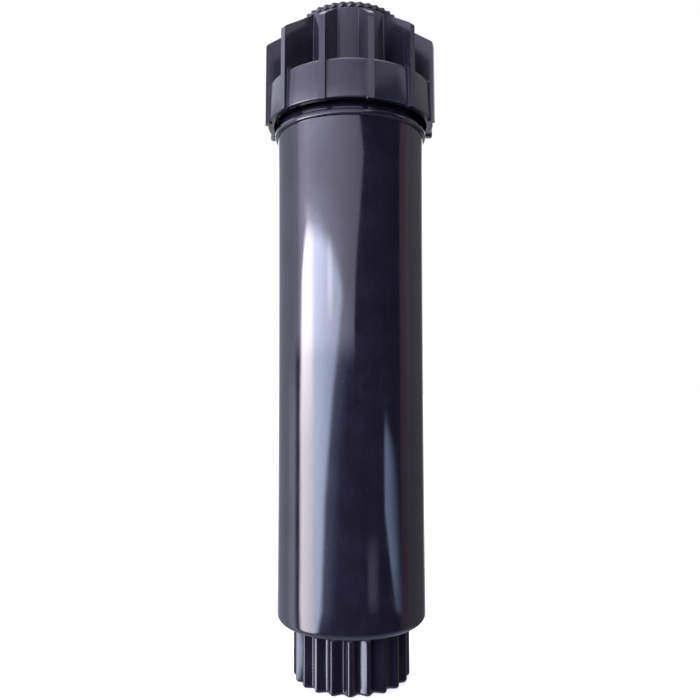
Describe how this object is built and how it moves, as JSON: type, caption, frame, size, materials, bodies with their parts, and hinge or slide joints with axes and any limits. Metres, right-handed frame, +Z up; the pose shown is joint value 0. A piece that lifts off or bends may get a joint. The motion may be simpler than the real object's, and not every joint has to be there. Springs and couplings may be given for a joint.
{
  "type": "pop up sprinkler",
  "caption": "Pop-up spray sprinkler, retracted: tube body with fluted inlet collar, finned screw cap, sprung riser and knurled arc-adjusting nozzle.",
  "frame": {"origin": "centre of the inlet collar's end face, on which the sprinkler stands; the sprinkler's axis is the Z axis", "axes": "+Z up along the sprinkler's axis, the way the riser pops up; the picture looks along +Y"},
  "size_m": [0.047, 0.047, 0.1805],
  "materials": {
    "case_plastic": "glossy moulded black plastic with a blue-grey cast, fine vertical draw lines",
    "cap_plastic": "semi-gloss moulded black plastic",
    "seal_rubber": "soft black rubber",
    "retainer_plastic": "grey-black moulded plastic",
    "gasket_rubber": "black rubber",
    "washer_acetal": "natural acetal",
    "spring_steel": "drawn stainless wire",
    "guide_acetal": "natural acetal",
    "riser_plastic": "polished black plastic",
    "filter_plastic": "black moulded plastic",
    "screen_mesh": "fine woven mesh",
    "nozzle_plastic": "black moulded plastic",
    "collar_plastic": "satin moulded black plastic",
    "screw_steel": "stainless steel"
  },
  "bodies": {
    "case": {"case_body": "case_plastic"},
    "seal_pack": {"wiper_seal": "seal_rubber", "seal_retainer": "retainer_plastic", "cap_gasket": "gasket_rubber", "upper_spring_washer": "washer_acetal", "retract_spring": "spring_steel"},
    "cap": {"cap": "cap_plastic"},
    "guide": {"ratchet_guide": "guide_acetal", "lower_spring_washer": "washer_acetal"},
    "riser": {"riser_stem": "riser_plastic", "riser_ratchet": "guide_acetal", "filter_frame": "filter_plastic", "filter_screen": "screen_mesh", "nozzle_washer": "gasket_rubber", "nozzle_base": "nozzle_plastic", "deflector": "nozzle_plastic"},
    "arc_collar": {"arc_collar": "collar_plastic", "collar_o_ring": "gasket_rubber"},
    "radius_screw": {"radius_screw": "screw_steel"},
    "throttle": {"throttle_nut": "guide_acetal"}
  },
  "joints": [
    {"name": "cap_lift", "type": "slide", "parent": "case", "child": "seal_pack", "axis": [0, 0, 1], "range_m": [0, 0.008]},
    {"name": "cap_turn", "type": "hinge", "parent": "seal_pack", "child": "cap", "pos_m": [0, 0, 0.16], "axis": [0, 0, 1], "range_deg": [0, 720]},
    {"name": "riser_pop", "type": "slide", "parent": "seal_pack", "child": "guide", "axis": [0, 0, 1], "range_m": [0, 0.1], "stiffness_N_per_m": 183, "springref_m": -0.082, "deforming": ["retract_spring"]},
    {"name": "riser_turn", "type": "hinge", "parent": "guide", "child": "riser", "pos_m": [0, 0, 0.026], "axis": [0, 0, 1], "continuous": true},
    {"name": "arc_adjust", "type": "hinge", "parent": "riser", "child": "arc_collar", "pos_m": [0, 0, 0.178], "axis": [0, 0, 1], "range_deg": [0, 330]},
    {"name": "radius_adjust", "type": "hinge", "parent": "riser", "child": "radius_screw", "pos_m": [0, 0, 0.1793], "axis": [0, 0, 1], "range_deg": [-1440, 0]},
    {"name": "throttle_travel", "type": "slide", "parent": "riser", "child": "throttle", "axis": [0, 0, 1], "range_m": [0, 0.0032]}
  ],
  "couplings": [
    {"joint": "cap_turn", "follows": "cap_lift", "rad_per_m": 1570.8},
    {"joint": "radius_adjust", "follows": "throttle_travel", "rad_per_m": -7854}
  ]
}
